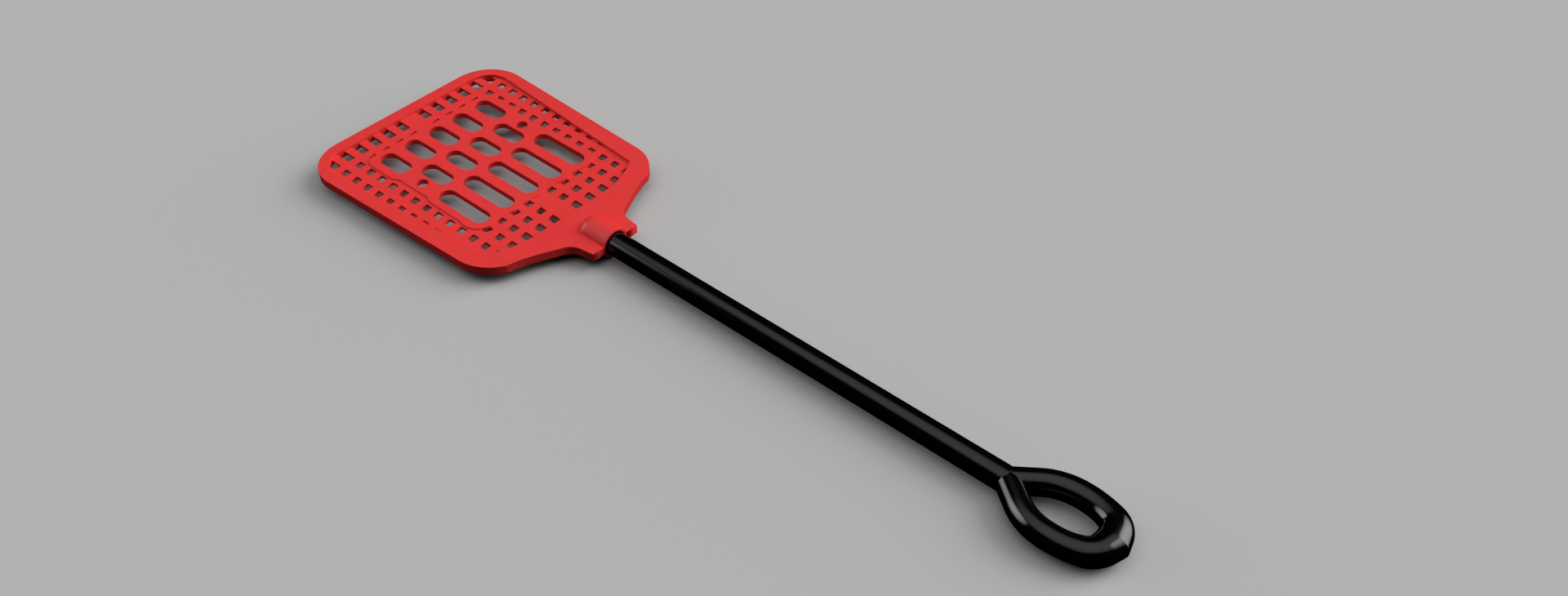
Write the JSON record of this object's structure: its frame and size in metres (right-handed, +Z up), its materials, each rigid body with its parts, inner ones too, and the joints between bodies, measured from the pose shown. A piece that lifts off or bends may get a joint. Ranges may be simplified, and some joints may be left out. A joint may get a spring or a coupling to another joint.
{
  "type": "fly swatter",
  "caption": "Hand fly swatter: flexible square mesh paddle with a slotted centre panel, pushed onto a round rod handle that ends in a hanging loop.",
  "frame": {"origin": "on the surface that the swatter lies on, under the middle of its overall length and width", "axes": "+X along the rod from the paddle to the hanging loop, +Y across the paddle, +Z up out of the paddle's flat face"},
  "size_m": [0.406, 0.1142, 0.0142],
  "materials": {
    "red_plastic": "satin",
    "black_gloss": "gloss"
  },
  "bodies": {
    "handle": {"handle_rod": "black_gloss", "hang_loop": "black_gloss"},
    "head": {"head_frame": "red_plastic", "mesh_panel": "red_plastic", "centre_panel": "red_plastic", "socket": "red_plastic"}
  },
  "joints": [
    {"name": "head_pull", "type": "slide", "parent": "handle", "child": "head", "axis": [-1, 0, 0], "range_m": [0, 0.02]}
  ]
}
